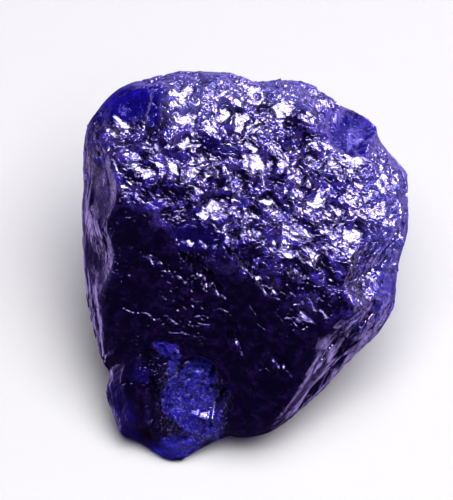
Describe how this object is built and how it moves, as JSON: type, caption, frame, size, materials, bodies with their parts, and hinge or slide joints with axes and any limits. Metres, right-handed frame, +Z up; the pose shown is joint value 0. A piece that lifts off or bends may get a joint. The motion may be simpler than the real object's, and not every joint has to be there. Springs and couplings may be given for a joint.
{
  "type": "rough tanzanite",
  "caption": "Rough, broken piece of violet-blue tanzanite crystal, lying on a small flat patch, with hackly faces, a steep side and a thin lump at its foot.",
  "frame": {"origin": "on the surface the stone lies on, under the middle of its box", "axes": "+Z up, +X to the stone's right and +Y to its back, seen from its main face; the main face leans back and looks up and towards -Y"},
  "size_m": [0.022, 0.0206, 0.0177],
  "materials": {
    "tanzanite": "glossy broken crystal, see-through where it is thin"
  },
  "bodies": {
    "root": {"rough_tanzanite": "tanzanite"}
  },
  "joints": []
}
